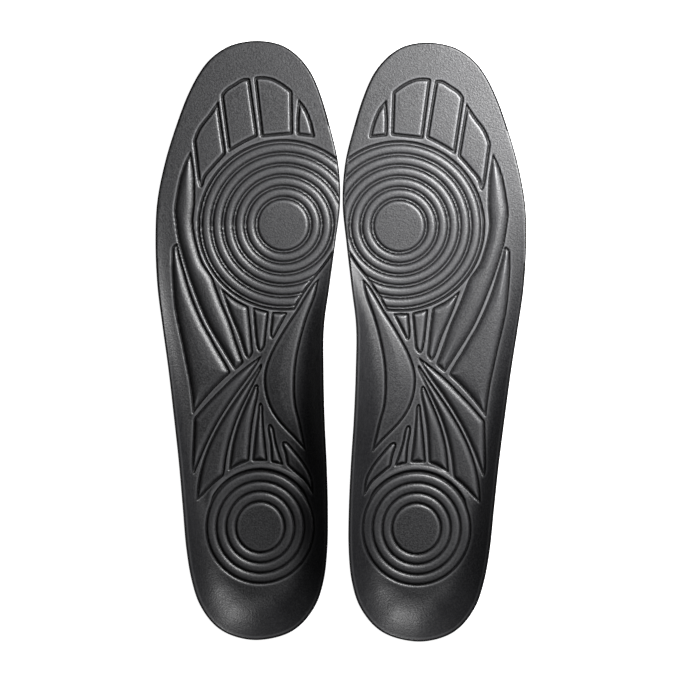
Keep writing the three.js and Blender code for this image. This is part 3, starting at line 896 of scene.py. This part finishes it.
def cover_material():
    """Black moulded skin: a fine pebbled grain, cloudy tone, polish and a painted highlight on what
    stands proud, painted shade in hollows, dull creases painted black as painted shade, and painted
    shade on the walls, broken into fine streaks along the insole."""
    s = Shader("grained_cover")
    standing = s.attribute("standing")
    # Raised places: polished, and painted lighter as a painted highlight.
    painted_highlight_and_polish = s.spread(standing, 0.03, 0.3)
    # Places lower than what is round them: painted darker, with less reflection, as painted shade.
    low = s.spread(standing, 0.0, -0.4)
    # Steep sides of the relief: painted black with no reflection, as painted shade in creases, and
    # duller.
    crease = s.spread(s.attribute("steep"), 1.0, 2.2)
    # High walls: painted darker, with less reflection, as painted shade, broken into fine streaks.
    streak = s.spread(s.noise(1500, 4, s.stretched((1, 0.06, 1))), 0.75, 0.25)
    painted_wall_shade = s.product(s.mix(streak, grey(0.75), grey(1)), s.attribute("wall"))
    mottle = s.noise(1100, 4)
    speck = s.spread(s.noise(1400, 5), 0.38, 0.62)
    tone = s.ramp(s.noise(45, 4), [(0.3, grey(0.013, 0.001)), (0.7, grey(0.024, 0.002))])
    tone = s.mix(speck, tone, grey(0.05, 0.002), 0.8)
    # Painted highlight on raised places, then painted shade in hollows, on the high walls and in
    # creases.
    tone = s.mix(painted_highlight_and_polish, tone, grey(0.13, 0.005), 0.8)
    tone = s.mix(low, tone, grey(0.004), 0.6)
    tone = s.mix(painted_wall_shade, tone, grey(0.004, 0.001), 0.7)
    s.join(s.mix(crease, tone, grey(0.001)), s.surface, "Base Color")
    # Specular tint: reflection taken out in hollows, on the high walls and in creases, as painted shade.
    reflection_tint_with_painted_shade = s.mix(low, grey(1), grey(0.1), 0.6)
    reflection_tint_with_painted_shade = s.mix(painted_wall_shade, reflection_tint_with_painted_shade, grey(0.25), 0.9)
    s.join(s.mix(crease, reflection_tint_with_painted_shade, grey(0)), s.surface, "Specular Tint")
    polish = s.ramp(mottle, [(0.3, 0.35), (0.7, 0.45)])
    rough = s.mix(painted_highlight_and_polish, polish, grey(0.32))
    s.join(s.mix(crease, rough, grey(0.7)), s.surface, "Roughness")
    pebbles = s.bump(s.cells(1300), 0.0001, 0.6)
    s.join(s.bump(mottle, 0.00008, 0.6, after=pebbles), s.surface, "Normal")
    return s.material


def clouded(name, scale, detail, dark, pale):
    """A shader whose tone drifts between two colours in soft clouds."""
    s = Shader(name)
    s.join(s.ramp(s.noise(scale, detail), [(0.3, dark), (0.7, pale)]), s.surface, "Base Color")
    return s


def edge_material():
    """The cut edge of the cover: dull and almost black."""
    s = clouded("cut_edge", 200, 3, grey(0.004), grey(0.010, 0.001))
    s.join(s.bump(s.noise(1600, 3), 0.0001, 0.6), s.surface, "Normal")
    s.set(Roughness=0.9, Specular_IOR_Level=0.1)
    return s.material


def foam_material():
    """Moulded foam: dull dark grey with fine closed cells."""
    s = clouded("moulded_foam", 120, 4, grey(0.016, 0.002), grey(0.028, 0.002))
    s.join(s.bump(s.cells(900), 0.0002, 0.7), s.surface, "Normal")
    s.set(Roughness=0.85)
    return s.material


def gel_material():
    """Charcoal gel: smooth, bluish and a little uneven."""
    s = clouded("charcoal_gel", 90, 3, (0.045, 0.05, 0.06), (0.065, 0.07, 0.082))
    s.join(s.bump(s.noise(700, 3), 0.00008, 0.5), s.surface, "Normal")
    s.set(Roughness=0.38)
    return s.material


def shell_material():
    """Stiff black plastic with a fine moulded texture."""
    s = clouded("textured_shell", 150, 3, grey(0.012, 0.002), grey(0.02, 0.002))
    s.join(s.bump(s.noise(1800, 4), 0.0001, 0.6), s.surface, "Normal")
    s.set(Roughness=0.42)
    return s.material


MATERIALS = {
    "cover": cover_material(),
    "edge": edge_material(),
    "foam": foam_material(),
    "cushion": gel_material(),
    "shell": shell_material(),
}


# ---------------------------------------------------------------- the two insoles

def finish_piece(piece, slot, nodes):
    """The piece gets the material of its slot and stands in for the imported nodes."""
    piece.data.materials.append(MATERIALS[slot])
    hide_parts(*nodes)


def bend(piece):
    """Bakes the piece's placement into its mesh."""
    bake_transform(piece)


def paint_edge(cover, edge):
    """The faces with a corner on the cut edge get the second material."""
    cover.data.materials.append(MATERIALS["edge"])
    corners = np.empty(len(cover.data.loops), int)
    cover.data.loops.foreach_get("vertex_index", corners)
    first = np.empty(len(cover.data.polygons), int)
    cover.data.polygons.foreach_get("loop_start", first)
    on_edge = np.logical_or.reduceat(edge[corners], first)
    cover.data.polygons.foreach_set("material_index", on_edge.astype(np.int32))


COVER_SHAPE, COVER_VALUES = cover_shape()
FOOTBED_SHAPE = footbed_shape()


def insole(side):
    """One insole: cover and foam, a gel cushion below the heel and one below the ball, and the arch
    shell."""
    cover, used = make_piece(f"{side}_moulded_cover", *COVER_SHAPE, side)
    for name, values in COVER_VALUES.items():
        add_attribute(cover, name, values[used])
    finish_piece(cover, "cover", [f"{side}_top_cover"])
    paint_edge(cover, COVER_VALUES["edge"][used] > 0.5)
    bend(cover)
    foam, _ = make_piece(f"{side}_foam_footbed", *FOOTBED_SHAPE, side)
    finish_piece(foam, "foam", [f"{side}_footbed_rear", f"{side}_footbed_front"])
    bend(foam)
    heel = cushion(side, "heel_cushion")
    finish_piece(heel, "cushion", [f"{side}_heel_cushion"])
    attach(heel, f"{side}_rear")
    ball = cushion(side, "ball_cushion")
    finish_piece(ball, "cushion", [f"{side}_ball_cushion"])
    bend(ball)
    shell = arch_shell(side)
    finish_piece(shell, "shell", [f"{side}_arch_shell"])
    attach(shell, f"{side}_rear")


for each in ("left", "right"):
    insole(each)


# ---------------------------------------------------------------- floor, light and camera, in metres

FLOOR_HALF = 6.0
FLOOR_DROP = 0.0003  # how far the floor lies below the insoles
COVER_MIDDLE = 0.01  # height of the covers, about halfway up their walls
CAMERA_HEIGHT = 2.0  # over that
VIEW_WIDTH = 0.3065  # what the camera takes in across, at the height of the covers
VIEW_TURN = 0.55  # degrees
SENSOR = 36


def floor():
    """A wide white floor that glows, so that it stays white all over."""
    low, high = -FLOOR_HALF, FLOOR_HALF
    corners = [(low, low), (high, low), (high, high), (low, high)]
    mesh = bpy.data.meshes.new("floor")
    mesh.from_pydata([(x, y, -FLOOR_DROP) for x, y in corners], [], [(0, 1, 2, 3)])
    stage = bpy.data.objects.new("floor", mesh)
    bpy.context.scene.collection.objects.link(stage)
    s = Shader("white_floor")
    s.set(Base_Color=(0.9, 0.9, 0.9, 1), Roughness=0.9)
    s.set(Emission_Color=(1, 1, 1, 1), Emission_Strength=1.0)
    mesh.materials.append(s.material)


def area_light(name, place, target, size, power):
    """A square lamp of a size in metres and a power in watts. It faces its target and isn't seen."""
    data = bpy.data.lights.new(name, "AREA")
    data.shape = "SQUARE"
    data.size = size
    data.energy = power
    lamp = bpy.data.objects.new(name, data)
    bpy.context.scene.collection.objects.link(lamp)
    lamp.location = place
    lamp.visible_camera = False
    lamp.rotation_euler = (Vector(target) - Vector(place)).to_track_quat("-Z", "Y").to_euler()


def world(strength):
    """Faint white light from all round."""
    w = bpy.data.worlds.new("studio")
    bpy.context.scene.world = w
    w.use_nodes = True
    w.node_tree.nodes["Background"].inputs["Color"].default_value = (1, 1, 1, 1)
    w.node_tree.nodes["Background"].inputs["Strength"].default_value = strength


def camera():
    """Straight above the pair, turned a little about its own axis. The lens is as many times the
    sensor as the height is the width of the view."""
    data = bpy.data.cameras.new("camera")
    data.sensor_width = SENSOR
    data.lens = SENSOR * CAMERA_HEIGHT / VIEW_WIDTH
    data.clip_end = 20
    eye = bpy.data.objects.new("camera", data)
    bpy.context.scene.collection.objects.link(eye)
    eye.location = (0, 0, CAMERA_HEIGHT + COVER_MIDDLE)
    eye.rotation_euler = (0, 0, math.radians(VIEW_TURN))
    bpy.context.scene.camera = eye


floor()
area_light("key", (0.15, 0.18, 0.15), (0.04, 0.05, 0), 0.17, 2.15)
area_light("soft", (0.10, 0.12, 0.35), (0.04, 0.04, 0), 0.25, 0.4)
area_light("side", (0.35, 0.1, 0.25), (0, 0, 0), 0.3, 0.15)
world(0.01)
camera()
bpy.context.scene.view_settings.view_transform = "Standard"
